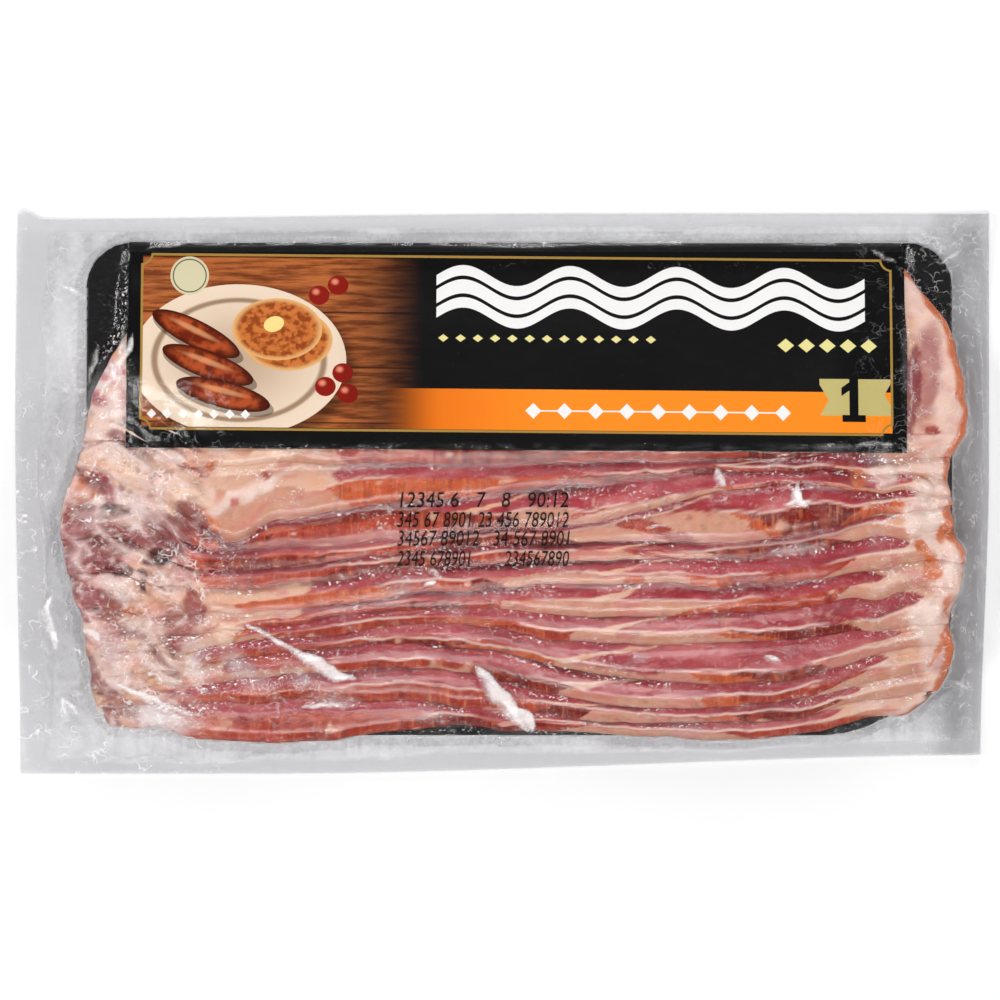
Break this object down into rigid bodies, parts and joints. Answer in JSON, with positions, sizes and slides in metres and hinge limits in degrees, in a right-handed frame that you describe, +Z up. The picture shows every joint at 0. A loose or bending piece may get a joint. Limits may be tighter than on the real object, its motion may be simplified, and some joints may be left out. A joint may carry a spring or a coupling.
{
  "type": "bacon pack",
  "caption": "Clear vacuum pack of shingled raw bacon slices on a black board with a printed flap folded over the top, sealed margins all round.",
  "frame": {"origin": "centre of the pack's bounding box in X and Y, on the flat underside it rests on", "axes": "+X along the slices, to the right of the label; +Y towards the board's folded edge; +Z up through the pack's thickness, out of the shown side"},
  "size_m": [0.2824, 0.1624, 0.0254],
  "materials": {
    "clear_film": "clear glossy vacuum film, creased where it meets the contents",
    "black_card": null,
    "raw_bacon": "moist raw cured meat, streaked lean and fat with a smoked edge"
  },
  "bodies": {
    "root": {"pouch": "clear_film", "label_board": "black_card", "bacon_slice_01": "raw_bacon", "bacon_slice_02": "raw_bacon", "bacon_slice_03": "raw_bacon", "bacon_slice_04": "raw_bacon", "bacon_slice_05": "raw_bacon", "bacon_slice_06": "raw_bacon", "bacon_slice_07": "raw_bacon", "bacon_slice_08": "raw_bacon", "bacon_slice_09": "raw_bacon", "bacon_slice_10": "raw_bacon", "bacon_slice_11": "raw_bacon", "bacon_slice_12": "raw_bacon"}
  },
  "joints": []
}
